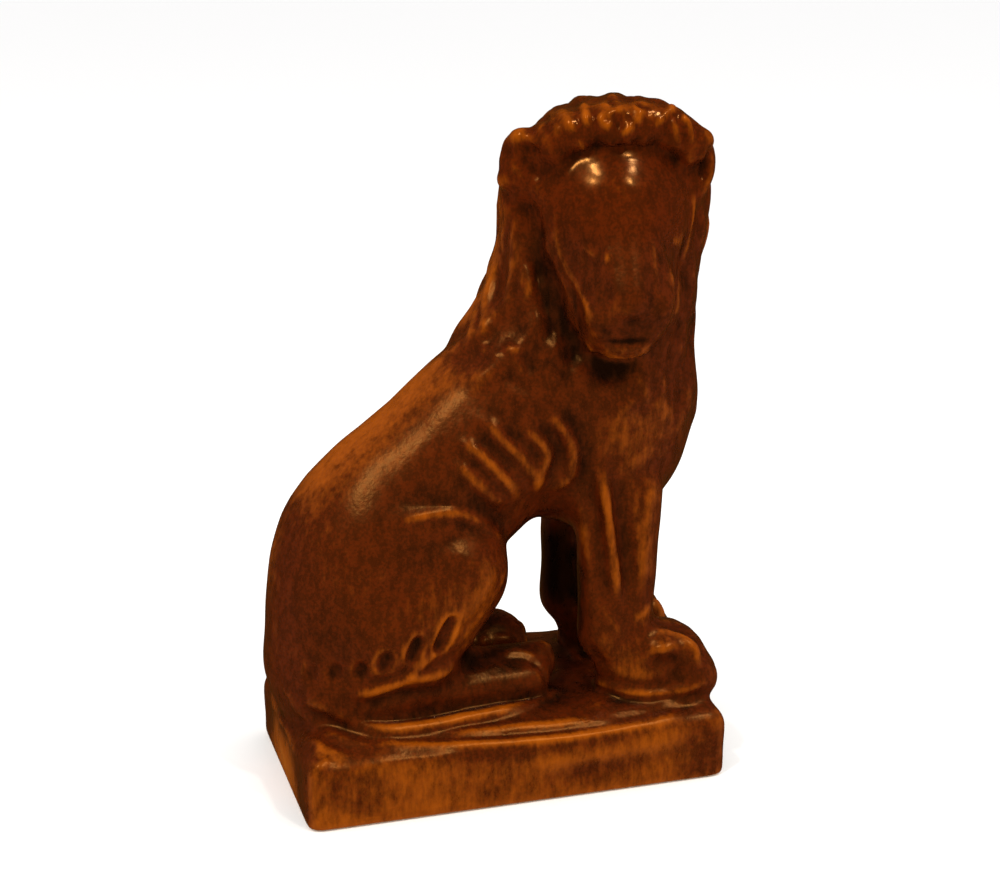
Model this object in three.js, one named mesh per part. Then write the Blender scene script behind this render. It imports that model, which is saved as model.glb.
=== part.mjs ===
// A glazed pottery bookend: a lion sits upright on a low rounded plinth, cast in one piece with it.
// Millimetres. +X is the way the lion's body faces, +Y is its left side and +Z is up.
// The origin is the middle of the plinth's flat underside.

import * as THREE from 'three';
import { edgeTable, triTable } from 'three/addons/objects/MarchingCubes.js';

// Plinth.
const PLINTH_LENGTH = 112.8;
const PLINTH_WIDTH = 65.6;
const PLINTH_MIDDLE = 1.1;
const PLINTH_EDGE_HEIGHT = 18;
const PLINTH_CROWN = 3.5;
const PLINTH_CORNER = 3.5;
const PLINTH_RISE = 11;
const FOOT_LEVEL = 21.5;

// Body and legs.
const RUMP_X = -32;
const RUMP_RADIUS = 27;
const RUMP_LOW = 34;
const RUMP_HIGH = 56.5;
const TORSO_RADIUS = 24;
const BODY_SQUASH = 0.9;
const CHEST_X = 30;
const CHEST_HEIGHT = 95.5;
const CHEST_RADII = [27, 22, 33];
const THIGH_Y = 11.5;
const THIGH_RADIUS = 17;
const KNEE_HEIGHT = 59.5;
const FOOT_RADIUS = 5.4;
const FOOT_TIP_X = 9;
const LEFT_FOOT_BACK = 3;
const FORELEG_Y = 15;
const FOREARM_RADIUS = 7;
const ELBOW_HEIGHT = 76;
const WRIST_HEIGHT = 37;
const PAW_X = 41;
const PAW_RADII = [13, 9, 12];
const PAW_REACH = 56;
const TOE_COUNT = 4;
const TOE_PITCH = 4.4;

// Mane and head.
const MANE_X = 31.9;
const MANE_Y = -3;
const MANE_RADIUS = 24.6;
const MANE_DEPTH = 0.82;
const CROWN_HEIGHT = 177;
const HEAD_X = 31;
const HEAD_Y = -8;
const HEAD_TURN = -100;
const BROW_HEIGHT = 150;
const CHIN_HEIGHT = 116;
const EAR_HEIGHT = 161;
const EAR_SIDE = 20.8;
const EAR_RADII = [6.2, 4.5, 9];
const HOLLOW_RADIUS = 3.2;
const FRINGE_COUNT = 9;
const FRINGE_SPREAD = 116;
const FRINGE_HALF_WIDTH = 21.5;
const FRINGE_RISE = 20.5;

// How finely the clay is sampled, how many facets the finished solid keeps, and how they are chosen.
const GRID = 1.25;
const FACETS = 9600;
const LEAST_SHAPE = 0.15;
const LEAST_TURN = 0.4;
const TINY_FACET = 0.05;
const SPREAD = 1e-3;
const REFUSED_COST = 0.02;
const MOST_REFUSALS = 4;

// The form under construction: masses that melt into each other, then strokes laid on their surface.
const masses = [];
const strokes = [];

// A mass is a distance field with a ball around it, outside which it is left out of the sum.
function add(field, centre, reach, blend) {
  masses.push({ field, centre, reach, blend, cut: false });
}

function cut(field, centre, reach, blend) {
  masses.push({ field, centre, reach, blend, cut: true });
}

function clamp(value, low, high) {
  return Math.min(high, Math.max(low, value));
}

function smoothstep(low, high, value) {
  const t = clamp((value - low) / (high - low), 0, 1);
  return t * t * (3 - 2 * t);
}

// Two surfaces melted together over a width, as clay is smoothed into a joint.
function melt(a, b, width) {
  const h = Math.max(width - Math.abs(a - b), 0) / width;
  return Math.min(a, b) - h * h * width * 0.25;
}

// A limb: a tapered round bar between two points. squash is its thickness in Y over its depth.
function limb(from, to, fromRadius, toRadius, squash = 1) {
  const [ax, ay, az] = from;
  const dx = to[0] - ax;
  const dy = to[1] - ay;
  const dz = to[2] - az;
  const length2 = dx * dx + dy * dy + dz * dz;
  return (x, y, z) => {
    const t = clamp(((x - ax) * dx + (y - ay) * dy + (z - az) * dz) / length2, 0, 1);
    const ex = x - ax - dx * t;
    const ey = (y - ay - dy * t) / squash;
    const ez = z - az - dz * t;
    const radius = fromRadius + (toRadius - fromRadius) * t;
    const distance = Math.hypot(ex, ey, ez) - radius;
    return distance * Math.min(1, squash);
  };
}

function addLimb(from, to, fromRadius, toRadius, blend, squash = 1) {
  const centre = from.map((value, i) => (value + to[i]) / 2);
  const half = Math.hypot(to[0] - from[0], to[1] - from[1], to[2] - from[2]) / 2;
  const reach = half + Math.max(fromRadius, toRadius) * Math.max(1, squash);
  add(limb(from, to, fromRadius, toRadius, squash), centre, reach, blend);
}

function cutLimb(from, to, radius, blend) {
  const centre = from.map((value, i) => (value + to[i]) / 2);
  const half = Math.hypot(to[0] - from[0], to[1] - from[1], to[2] - from[2]) / 2;
  cut(limb(from, to, radius, radius), centre, half + radius, blend);
}

// An egg: radii along its own axes, turned by a yaw about Z and then a pitch about its own Y.
function egg(centre, radii, yaw = 0, pitch = 0) {
  const turn = new THREE.Euler(0, THREE.MathUtils.degToRad(pitch), THREE.MathUtils.degToRad(yaw), 'ZYX');
  const matrix = new THREE.Matrix4().makeRotationFromEuler(turn).transpose().elements;
  const [cx, cy, cz] = centre;
  const [rx, ry, rz] = radii;
  return (x, y, z) => {
    const dx = x - cx;
    const dy = y - cy;
    const dz = z - cz;
    const ex = (matrix[0] * dx + matrix[4] * dy + matrix[8] * dz) / rx;
    const ey = (matrix[1] * dx + matrix[5] * dy + matrix[9] * dz) / ry;
    const ez = (matrix[2] * dx + matrix[6] * dy + matrix[10] * dz) / rz;
    const k0 = Math.hypot(ex, ey, ez);
    const k1 = Math.hypot(ex / rx, ey / ry, ez / rz);
    return k1 > 0 ? (k0 * (k0 - 1)) / k1 : -Math.min(rx, ry, rz);
  };
}

function addEgg(centre, radii, blend, yaw = 0, pitch = 0) {
  add(egg(centre, radii, yaw, pitch), centre, Math.max(...radii), blend);
}

function cutEgg(centre, radii, blend, yaw = 0, pitch = 0) {
  cut(egg(centre, radii, yaw, pitch), centre, Math.max(...radii), blend);
}

// The same on both flanks: build is called with -1 for the right side and +1 for the left.
function onBothSides(build) {
  build(-1);
  build(1);
}

// The distance to the smooth masses alone, before any stroke.
function massField(x, y, z) {
  let distance = 1000;
  for (const mass of masses) {
    const [cx, cy, cz] = mass.centre;
    const gap = Math.hypot(x - cx, y - cy, z - cz) - mass.reach;
    if (mass.cut) {
      if (gap > mass.blend - distance) continue;
      distance = -melt(-distance, mass.field(x, y, z), mass.blend);
    } else {
      if (gap > distance + mass.blend) continue;
      distance = melt(distance, mass.field(x, y, z), mass.blend);
    }
  }
  return distance;
}

// A point carried along a direction until it meets the surface of the masses.
function drop(point, direction, start = 60) {
  const [dx, dy, dz] = direction;
  let travelled = -start;
  for (let step = 0; step < 400; step += 1) {
    const x = point[0] + dx * travelled;
    const y = point[1] + dy * travelled;
    const z = point[2] + dz * travelled;
    const distance = massField(x, y, z);
    if (distance < 0.02) return new THREE.Vector3(x, y, z);
    travelled += Math.max(distance * 0.7, 0.05);
  }
  return null;
}

// A stroke: a soft ridge, or a groove where height is negative, along a curve on the surface.
function addStroke(points, width, height, taper = true) {
  const kept = points.filter((point) => point !== null);
  if (kept.length < 2) return;
  const curve = new THREE.CatmullRomCurve3(kept);
  const pieces = Math.max(2, Math.ceil(curve.getLength() / 1.6));
  const samples = curve.getSpacedPoints(pieces);
  const box = new THREE.Box3().setFromPoints(samples);
  const ball = box.getBoundingSphere(new THREE.Sphere());
  strokes.push({ samples, width, height, taper, centre: ball.center, reach: ball.radius + width });
}

function strokeLift(stroke, x, y, z) {
  const { samples, width, centre, reach } = stroke;
  if (Math.hypot(x - centre.x, y - centre.y, z - centre.z) > reach) return 0;
  let best = width * width;
  let along = 0;
  for (let i = 0; i < samples.length - 1; i += 1) {
    const a = samples[i];
    const b = samples[i + 1];
    const dx = b.x - a.x;
    const dy = b.y - a.y;
    const dz = b.z - a.z;
    const length2 = dx * dx + dy * dy + dz * dz;
    const t = clamp(((x - a.x) * dx + (y - a.y) * dy + (z - a.z) * dz) / length2, 0, 1);
    const ex = x - a.x - dx * t;
    const ey = y - a.y - dy * t;
    const ez = z - a.z - dz * t;
    const distance2 = ex * ex + ey * ey + ez * ez;
    if (distance2 < best) {
      best = distance2;
      along = (i + t) / (samples.length - 1);
    }
  }
  const across = 1 - best / (width * width);
  if (across <= 0) return 0;
  const ends = stroke.taper ? smoothstep(0, 0.22, along) * smoothstep(1, 0.78, along) : 1;
  return stroke.height * across * across * ends;
}

// Strokes are worked out only this near to the surface.
const STROKE_DEPTH = 7;

function sculptField(x, y, z) {
  let distance = massField(x, y, z);
  if (Math.abs(distance) > STROKE_DEPTH) return distance;
  for (const stroke of strokes) distance -= strokeLift(stroke, x, y, z);
  return distance;
}

// The plinth: a pressed slab with soft edges, its top swelling a little towards the lion's feet.
function plinthField(x, y, z) {
  const along = Math.abs(x - PLINTH_MIDDLE);
  const inward = Math.min((PLINTH_LENGTH / 2 - along) * 1.7, PLINTH_WIDTH / 2 + y);
  const top = PLINTH_EDGE_HEIGHT + PLINTH_CROWN * smoothstep(0, PLINTH_RISE, inward);
  const half = (top + PLINTH_CORNER * 2) / 2;
  const qx = along - (PLINTH_LENGTH / 2 - PLINTH_CORNER);
  const qy = Math.abs(y) - (PLINTH_WIDTH / 2 - PLINTH_CORNER);
  const qz = Math.abs(z - (top - half)) - (half - PLINTH_CORNER);
  const outside = Math.hypot(Math.max(qx, 0), Math.max(qy, 0), Math.max(qz, 0));
  return outside + Math.min(Math.max(qx, qy, qz), 0) - PLINTH_CORNER;
}

add(plinthField, [PLINTH_MIDDLE, 0, 5], PLINTH_LENGTH, 2);

// Body: a heavy rump, a torso that leans up to the chest, and the deep chest itself.
addLimb([RUMP_X - 0.5, 0, RUMP_LOW], [RUMP_X + 1.5, 0, RUMP_HIGH], RUMP_RADIUS, RUMP_RADIUS, 3, BODY_SQUASH);
addLimb([-23.5, 0, 69.5], [11, 0, 98.5], TORSO_RADIUS + 1, TORSO_RADIUS, 8, BODY_SQUASH - 0.05);
addEgg([CHEST_X, 0, CHEST_HEIGHT], CHEST_RADII, 6);

// Hind legs: a broad thigh folded up to the knee, a shin under it, and a long foot flat on the plinth.
onBothSides((side) => {
  const y = THIGH_Y * side;
  addLimb([-30, y, 45], [-12.6, y, KNEE_HEIGHT], THIGH_RADIUS, THIGH_RADIUS - 2, 2.5);
  addLimb([-9.5, 11.5 * side, KNEE_HEIGHT - 5.5], [-22, 12.5 * side, 36], 10, 11, 4);
  const tip = side > 0 ? FOOT_TIP_X - LEFT_FOOT_BACK : FOOT_TIP_X;
  addLimb([-34, 17.5 * side, 26.5], [tip, 13.5 * side, 26], FOOT_RADIUS, FOOT_RADIUS - 0.4, 2);
  addLimb([-28, 10 * side, 29], [tip + 2.5, 7.8 * side, 28], FOOT_RADIUS + 0.6, FOOT_RADIUS + 0.6, 2);
});
// The left foot, drawn a little further back, rises in a knuckle that shows beyond the right one.
addEgg([5.5, 10.5, 31], [8, 6, 5.8], 2);

// Forelegs: each a pair of upright bars under the chest, melted together along a shallow flute.
onBothSides((side) => {
  const elbowY = (FORELEG_Y - 1) * side;
  const wristY = (FORELEG_Y + 0.5) * side;
  const wristRadius = FOREARM_RADIUS - 0.6;
  addLimb([27.8, elbowY, ELBOW_HEIGHT], [27.6, wristY, WRIST_HEIGHT], FOREARM_RADIUS, wristRadius, 6);
  const frontRadius = FOREARM_RADIUS + 0.4;
  addLimb([37, elbowY, ELBOW_HEIGHT], [34.8, wristY, WRIST_HEIGHT - 3], frontRadius, wristRadius, 2.5);
  addLimb([28.2, FORELEG_Y * side, WRIST_HEIGHT + 1], [34, (FORELEG_Y + 1) * side, 25], 6, 6, 3);
});

// Forepaws: broad and flat on the plinth, with four toes side by side under a rounded knuckle line.
onBothSides((side) => {
  addEgg([PAW_X, (FORELEG_Y + 0.5) * side, 28], PAW_RADII, 4);
  for (let toe = 0; toe < TOE_COUNT; toe += 1) {
    const offset = (toe - (TOE_COUNT - 1) / 2) * TOE_PITCH;
    const y = (FORELEG_Y + 0.5) * side + offset;
    const reach = PAW_REACH - Math.abs(offset) * 0.3;
    addLimb([PAW_X + 1, y, 34], [reach - 4.5, y * 1.02, 33], 4.2, 4, 1.6);
    addLimb([reach - 4.5, y * 1.02, 31], [reach, y * 1.03, 25.5], 4.6, 4.2, 1.6);
    addLimb([reach - 6, y * 1.02, 24], [reach, y * 1.03, 23.6], 4.2, 3.8, 1.6);
  }
});

// Mane: a thick column round the neck that spreads on to the back and the chest.
addLimb([CHEST_X - 0.5, 0, 108], [MANE_X, MANE_Y, 150], 26, MANE_RADIUS, 5, MANE_DEPTH);
addLimb([18.5, -1, 141], [10, 0, 115], 10.6, 13.4, 7);
const CROWN_RADII = [MANE_RADIUS + 1.5, MANE_RADIUS * MANE_DEPTH, CROWN_HEIGHT - BROW_HEIGHT - 1.5];
addEgg([MANE_X - 0.5, MANE_Y, BROW_HEIGHT + 1], CROWN_RADII, 4);

// Head: its own frame turned to the lion's right. side is to the head's left, front is out of the face.
const headAngle = THREE.MathUtils.degToRad(HEAD_TURN);
const FRONT = [Math.cos(headAngle), Math.sin(headAngle)];
const HEAD_YAW = HEAD_TURN + 90;

function inHead(side, front, height) {
  const x = HEAD_X + FRONT[0] * front - FRONT[1] * side;
  const y = HEAD_Y + FRONT[1] * front + FRONT[0] * side;
  return [x, y, height];
}

addEgg(inHead(0, 2, BROW_HEIGHT), [19.5, 18.5, 18], 3, HEAD_YAW);
addLimb(inHead(0, 5.5, BROW_HEIGHT - 1), inHead(1, 16, 128), 15.5, 11.2, 3);
addLimb(inHead(-1.5, 3, 137), inHead(-1, 13, 122.5), 14.5, 9.5, 3);
onBothSides((side) => {
  addLimb(inHead(4.6 * side + 1, 17, 134), inHead(5 * side + 1, 20.8, 126.4), 6, 6, 2);
});
onBothSides((side) => {
  addLimb(inHead(3.6 * side, 12, 121), inHead(3.2 * side + 0.6, 18.6, CHIN_HEIGHT + 4.8), 7, 5.8, 2);
});
addLimb(inHead(0.5, 17, 148), inHead(1, 24.5, 130), 5, 5.4, 2);

// Hollow: the mane stands back from the face all round its sides and under the chin.
const HOLLOW = [
  [-22, 8, 155], [-21.5, 8, 144], [-18.8, 9.5, 135], [-16.2, 11.5, 127.5], [-14, 13, 120],
  [-9.8, 14.5, 114], [-3.5, 16, 110.4], [4.5, 16, 110.4], [10.5, 15, 114], [15.5, 13.5, 122],
  [18.6, 11, 131], [21, 9, 141.5], [22.4, 8, 152],
];
for (let i = 0; i + 1 < HOLLOW.length; i += 1) {
  cutLimb(inHead(...HOLLOW[i]), inHead(...HOLLOW[i + 1]), HOLLOW_RADIUS, 2.4);
}

// Ears: round, set at the sides of the head, each cupped on its front.
onBothSides((side) => {
  const place = EAR_SIDE * side - 1.4;
  addEgg(inHead(place, 5, EAR_HEIGHT), EAR_RADII, 2, HEAD_YAW + 30 * side);
  cutEgg(inHead(place + 1.4 * side, 10.5, EAR_HEIGHT - 0.6), [3, 3.4, 6], 1.5, HEAD_YAW + 30 * side);
});

// Fringe: a roll of short locks over the brow from ear to ear, each hanging to a point.
for (let i = 0; i < FRINGE_COUNT; i += 1) {
  const angle = THREE.MathUtils.degToRad(FRINGE_SPREAD * (i / (FRINGE_COUNT - 1) - 0.5));
  const across = Math.sin(angle) * FRINGE_HALF_WIDTH + 0.9;
  const height = BROW_HEIGHT + FRINGE_RISE * Math.cos(angle) ** 0.5;
  const root = inHead(across * 0.8, -2, height - 2);
  const bend = inHead(across * 0.95, 13.4 - Math.abs(across) * 0.2, height + 1.4);
  const tip = inHead(across * 0.98 + 1.5 * Math.cos(i * 2), 17.4 - Math.abs(across) * 0.3, height - 3);
  addLimb(root, bend, 8, 4.6, 1.4);
  addLimb(bend, tip, 4.2, 1.6, 1);
  addEgg(inHead(across * 0.88 + 1, 5.5, height + 3.2), [2.9, 4.6, 3.8], 0.8);
}

// From here on, strokes: each is drawn in one plane and laid on the nearest surface of the masses.
function flank(side, outline) {
  return outline.map(([x, z]) => drop([x, 0, z], [0, -side, 0]));
}

function face(outline) {
  return outline.map(([side, height]) => drop(inHead(side, 0, height), [-FRONT[0], -FRONT[1], 0]));
}

// Ribs: each curves down and forward from the back and turns in under the elbow.
const RIBS = [
  [[-14, 89.5], [-7.2, 84.3], [-3.2, 79.3], [-1, 76]],
  [[-13, 94.5], [-5.7, 90.5], [-0.6, 84.1], [2.4, 79.9], [4.5, 77]],
  [[-6, 99.5], [-0.5, 93.4], [4.7, 88.3], [8.4, 82.3], [9.2, 78.6]],
  [[2, 98.8], [7.1, 94.3], [10.9, 90.2], [9.2, 85.2], [8.6, 80.8]],
  [[9, 100.5], [13.2, 97.2], [16.4, 91.7], [16.9, 84.8], [14.8, 80.6], [9.8, 78.5]],
];
// Thigh: the crest along its upper edge, from the hip to the knee.
const THIGH_CREST = [[-32, 75], [-25, 76.8], [-17.8, 77], [-12.5, 76.4], [-7, 73.8], [-1.2, 68.8], [2, 63]];
// Hock: the lower edge of the haunch, above the heel.
const HOCK_EDGE = [[-41, 31.6], [-37, 32.2], [-31, 33.6], [-26, 34.6], [-18.5, 34.6], [-14, 38]];
// Scallops: a row of pressed ovals above it, each given by its middle, its length and its lean.
const SCALLOPS = [
  [-50.5, 36.5, 3, 0], [-45.2, 37.2, 4, 5], [-39.2, 38, 6, 8], [-33.2, 40, 7.5, 12], [-26, 42.6, 8.5, 20],
  [-18.5, 46, 9.5, 28],
];
onBothSides((side) => {
  for (const rib of RIBS) addStroke(flank(side, rib), 3, 1.7);
  addStroke(flank(side, THIGH_CREST.map(([x, z]) => [x, z + 3.2])), 4, -1.8);
  addStroke(flank(side, THIGH_CREST.map(([x, z]) => [x, z - 1])), 3, 1);
  addStroke(flank(side, HOCK_EDGE), 2.6, 1.1);
  for (const [x, z, length, lean] of SCALLOPS) {
    const turn = THREE.MathUtils.degToRad(lean);
    const dx = (Math.sin(turn) * length) / 2;
    const dz = (Math.cos(turn) * length) / 2;
    addStroke(flank(side, [[x - dx, z - dz], [x, z], [x + dx, z + dz]]), 2.7, -1.5, false);
  }
});

// Flute: an upright ridge on the outside of each foreleg, with a groove before and behind it.
const FLUTE = [[24, 90], [26.1, 78.6], [28, 65.2], [29.1, 54.1], [31.2, 45]];
onBothSides((side) => {
  addStroke(flank(side, FLUTE), 2.4, 1.1);
  addStroke(flank(side, FLUTE.map(([x, z]) => [x + 3.4, z])), 2.8, -1.1);
  addStroke(flank(side, FLUTE.map(([x, z]) => [x - 3, z - 6])), 2.6, -0.8);
});

// Ledge: a rim of clay left round the haunch and the foot, with a groove above it.
const LEDGE = [[-46, -17], [-42, -20], [-34, -24], [-26, -24], [-16, -22], [-4, -20], [8, -18.5]];
onBothSides((side) => {
  const rim = LEDGE.map(([x, y]) => new THREE.Vector3(x, -side * (y - 1.5), FOOT_LEVEL + 0.2));
  const groove = LEDGE.map(([x]) => drop([x, 0, FOOT_LEVEL + 3], [0, -side, 0]));
  addStroke(rim, 3, 1.2);
  addStroke(groove, 2.4, -1);
});

// Mane locks: rows of wavy tapering locks round the neck, leaving the face free.
function maneLock(angle, top, bottom, sway, width, height) {
  const points = [];
  for (let i = 0; i <= 6; i += 1) {
    const t = i / 6;
    const turn = THREE.MathUtils.degToRad(angle + sway * Math.sin(t * Math.PI * 1.6));
    const z = top + (bottom - top) * t;
    const towards = [-Math.cos(turn), -Math.sin(turn), 0];
    points.push(drop([MANE_X, MANE_Y + 4 * smoothstep(150, 100, z), z], towards));
  }
  addStroke(points, width, height);
}

const MANE_ROWS = [
  { count: 18, top: 166, bottom: 140, free: 52, sway: 5 },
  { count: 20, top: 147, bottom: 122, free: 40, sway: -6 },
  { count: 20, top: 129, bottom: 107, free: 12, sway: 6 },
];
for (const [row, { count, top, bottom, free, sway }] of MANE_ROWS.entries()) {
  for (let i = 0; i < count; i += 1) {
    const angle = HEAD_TURN + (360 * (i + (row % 2) / 2)) / count;
    const off = Math.abs(((angle - HEAD_TURN + 180) % 360) - 180);
    if (off < free) continue;
    const shift = 2.5 * Math.sin(i * 2.4 + row);
    maneLock(angle, top + shift, bottom + shift, sway, 3.6, 1.7);
  }
}
// Chest locks: the last row, on the front and the shoulders only.
for (let i = 0; i < 9; i += 1) {
  maneLock(-88 + 22 * i, 111 + 2 * Math.cos(i * 2), 92 + 5 * Math.cos(i * 1.3), 7 - 14 * (i % 2), 3.6, 1.4);
}

// Face: narrow eyes in shallow sockets, the edges of the long nose, the nostrils and the mouth.
onBothSides((side) => {
  addStroke(face([[5.6 * side, 139.4], [9 * side, 141.2], [13 * side, 140.4]]), 3, -0.5);
  addStroke(face([[6.2 * side, 138], [9 * side, 138.9], [12 * side, 138.4]]), 2.6, 0.5);
  addStroke(face([[5.8 * side + 0.6, 146], [5.6 * side + 0.8, 136], [5.6 * side + 1, 128]]), 2.2, 0.8);
  addStroke(face([[8.6 * side + 0.6, 136], [8.4 * side + 1, 129]]), 2.8, -0.5);
  addStroke(face([[1.8 * side + 1, 124], [4.4 * side + 1, 125], [6 * side + 1, 127.4]]), 2, -1);
});
const MOUTH = [[-9.6, 126], [-7.2, 122.8], [-2.5, 120.7], [3.5, 120.4], [8.2, 122.4], [10.6, 125.6]];
addStroke(face(MOUTH), 1.9, -0.9);
addStroke(face([[0.8, 124.6], [0.7, 121]]), 1.6, -0.5, false);

// The clay above is polygonised on a regular grid: one cell corner inside, its neighbour outside.
// The ground, z = 0, falls half-way between two layers of the grid.
const LOW = [-64, -46, -GRID * 1.5];
const HIGH = [64, 38, 182];
const CORNERS = [
  [0, 0, 0], [1, 0, 0], [1, 1, 0], [0, 1, 0],
  [0, 0, 1], [1, 0, 1], [1, 1, 1], [0, 1, 1],
];
const EDGES = [
  [0, 1], [1, 2], [3, 2], [0, 3], [4, 5], [5, 6], [7, 6], [4, 7], [0, 4], [1, 5], [2, 6], [3, 7],
];

function polygonise(field) {
  const counts = LOW.map((low, axis) => Math.ceil((HIGH[axis] - low) / GRID) + 1);
  const [nx, ny, nz] = counts;
  const at = (ix, iy, iz) => ix + nx * (iy + ny * iz);
  const values = new Float32Array(nx * ny * nz);
  for (let iz = 0; iz < nz; iz += 1) {
    const z = LOW[2] + iz * GRID;
    for (let iy = 0; iy < ny; iy += 1) {
      const y = LOW[1] + iy * GRID;
      let ix = 0;
      while (ix < nx) {
        const distance = Math.max(field(LOW[0] + ix * GRID, y, z), -z);
        values[at(ix, iy, iz)] = distance;
        ix += 1;
        // Far from the clay the field needs no samples, so whole runs are filled at once.
        let skip = Math.floor((Math.abs(distance) * 0.6 - GRID * 2) / GRID);
        while (skip > 0 && ix < nx) {
          values[at(ix, iy, iz)] = distance;
          ix += 1;
          skip -= 1;
        }
      }
    }
  }
  const points = [];
  const faces = [];
  const known = new Map();
  for (let iz = 0; iz < nz - 1; iz += 1) {
    for (let iy = 0; iy < ny - 1; iy += 1) {
      for (let ix = 0; ix < nx - 1; ix += 1) {
        const index = CORNERS.map(([cx, cy, cz]) => at(ix + cx, iy + cy, iz + cz));
        let kind = 0;
        for (let c = 0; c < 8; c += 1) if (values[index[c]] < 0) kind |= 1 << c;
        if (edgeTable[kind] === 0) continue;
        const place = [];
        for (let e = 0; e < 12; e += 1) {
          if (!(edgeTable[kind] & (1 << e))) continue;
          const [ca, cb] = EDGES[e];
          const a = index[ca];
          const b = index[cb];
          const key = a * 3 + (b - a === 1 ? 0 : b - a === nx ? 1 : 2);
          if (!known.has(key)) {
            const t = clamp(values[a] / (values[a] - values[b]), 0.02, 0.98);
            const from = CORNERS[ca];
            const to = CORNERS[cb];
            known.set(key, points.length);
            points.push([
              LOW[0] + (ix + from[0] + (to[0] - from[0]) * t) * GRID,
              LOW[1] + (iy + from[1] + (to[1] - from[1]) * t) * GRID,
              LOW[2] + (iz + from[2] + (to[2] - from[2]) * t) * GRID,
            ]);
          }
          place[e] = known.get(key);
        }
        for (let i = kind * 16; triTable[i] !== -1; i += 3) {
          faces.push([place[triTable[i]], place[triTable[i + 2]], place[triTable[i + 1]]]);
        }
      }
    }
  }
  // The lowest layer of corners is pressed flat on to the ground, which leaves a crisp lower edge.
  for (const point of points) if (point[2] < GRID * 0.55) point[2] = 0;
  return { points, faces };
}

// Facets are merged edge by edge, cheapest first, by the sum of squared distances to the planes they join.
function coarsen(mesh, target, care) {
  const { points, faces } = mesh;
  const alive = new Uint8Array(faces.length).fill(1);
  const around = points.map(() => new Set());
  faces.forEach((face, i) => face.forEach((corner) => around[corner].add(i)));
  const quadric = points.map(() => new Float64Array(10));
  const version = new Uint32Array(points.length);

  function normalOf(a, b, c) {
    const ux = b[0] - a[0];
    const uy = b[1] - a[1];
    const uz = b[2] - a[2];
    const wx = c[0] - a[0];
    const wy = c[1] - a[1];
    const wz = c[2] - a[2];
    return [uy * wz - uz * wy, uz * wx - ux * wz, ux * wy - uy * wx];
  }

  for (const [i, j, k] of faces) {
    const n = normalOf(points[i], points[j], points[k]);
    const length = Math.hypot(...n);
    if (length < 1e-9) continue;
    const [a, b, c] = n.map((value) => value / length);
    const d = -(a * points[i][0] + b * points[i][1] + c * points[i][2]);
    const weight = length * care(points[i]);
    const terms = [a * a, a * b, a * c, a * d, b * b, b * c, b * d, c * c, c * d, d * d];
    for (const corner of [i, j, k]) {
      for (let t = 0; t < 10; t += 1) quadric[corner][t] += terms[t] * weight;
    }
  }

  function costAt(q, [x, y, z]) {
    return q[0] * x * x + 2 * q[1] * x * y + 2 * q[2] * x * z + 2 * q[3] * x + q[4] * y * y
      + 2 * q[5] * y * z + 2 * q[6] * y + q[7] * z * z + 2 * q[8] * z + q[9];
  }

  function placesFor(a, b) {
    const q = quadric[a].map((value, t) => value + quadric[b][t]);
    const p = points[a];
    const r = points[b];
    const middle = p.map((value, i) => (value + r[i]) / 2);
    const choices = [p, r, middle];
    const [a11, a12, a13, b1, a22, a23, b2, a33, b3] = q;
    const minor1 = a22 * a33 - a23 * a23;
    const minor2 = a12 * a33 - a23 * a13;
    const minor3 = a12 * a23 - a22 * a13;
    const det = a11 * minor1 - a12 * minor2 + a13 * minor3;
    const size = Math.abs(a11) + Math.abs(a22) + Math.abs(a33);
    if (Math.abs(det) > 1e-4 * size * size * size) {
      const mix1 = b2 * a33 - a23 * b3;
      const mix2 = b2 * a23 - a22 * b3;
      const mix3 = a12 * b3 - b2 * a13;
      const x = -(b1 * minor1 - a12 * mix1 + a13 * mix2) / det;
      const y = -(a11 * mix1 - b1 * minor2 + a13 * mix3) / det;
      const z = -(-a11 * mix2 - a12 * mix3 + b1 * minor3) / det;
      const span = Math.hypot(p[0] - r[0], p[1] - r[1], p[2] - r[2]);
      if (Math.hypot(x - middle[0], y - middle[1], z - middle[2]) < span * 1.5) choices.push([x, y, z]);
    }
    const span2 = (p[0] - r[0]) ** 2 + (p[1] - r[1]) ** 2 + (p[2] - r[2]) ** 2;
    return choices
      .map((place) => ({ place, cost: Math.max(costAt(q, place), 0) + span2 * SPREAD }))
      .sort((one, other) => one.cost - other.cost);
  }

  // A binary heap of possible merges, cheapest on top.
  const heap = [];
  function push(item) {
    let i = heap.length;
    heap.push(item);
    while (i > 0) {
      const parent = (i - 1) >> 1;
      if (heap[parent].cost <= item.cost) break;
      heap[i] = heap[parent];
      i = parent;
    }
    heap[i] = item;
  }
  function pop() {
    const top = heap[0];
    const last = heap.pop();
    if (heap.length === 0) return top;
    let i = 0;
    while (true) {
      let child = i * 2 + 1;
      if (child >= heap.length) break;
      if (child + 1 < heap.length && heap[child + 1].cost < heap[child].cost) child += 1;
      if (heap[child].cost >= last.cost) break;
      heap[i] = heap[child];
      i = child;
    }
    heap[i] = last;
    return top;
  }

  function offer(a, b) {
    const places = placesFor(a, b);
    push({ a, b, places, cost: places[0].cost, stamp: version[a] + version[b] * 65536, refusals: 0 });
  }

  function neighbours(corner) {
    const found = new Set();
    for (const i of around[corner]) for (const other of faces[i]) if (other !== corner) found.add(other);
    return found;
  }

  // How far a facet is from a sliver: 1 is square-cornered and short, 0 is a line.
  function shapeOf(p, q, r) {
    const longest2 = Math.max(
      (p[0] - q[0]) ** 2 + (p[1] - q[1]) ** 2 + (p[2] - q[2]) ** 2,
      (q[0] - r[0]) ** 2 + (q[1] - r[1]) ** 2 + (q[2] - r[2]) ** 2,
      (r[0] - p[0]) ** 2 + (r[1] - p[1]) ** 2 + (r[2] - p[2]) ** 2,
    );
    return longest2 > 0 ? Math.hypot(...normalOf(p, q, r)) / longest2 : 0;
  }

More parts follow.
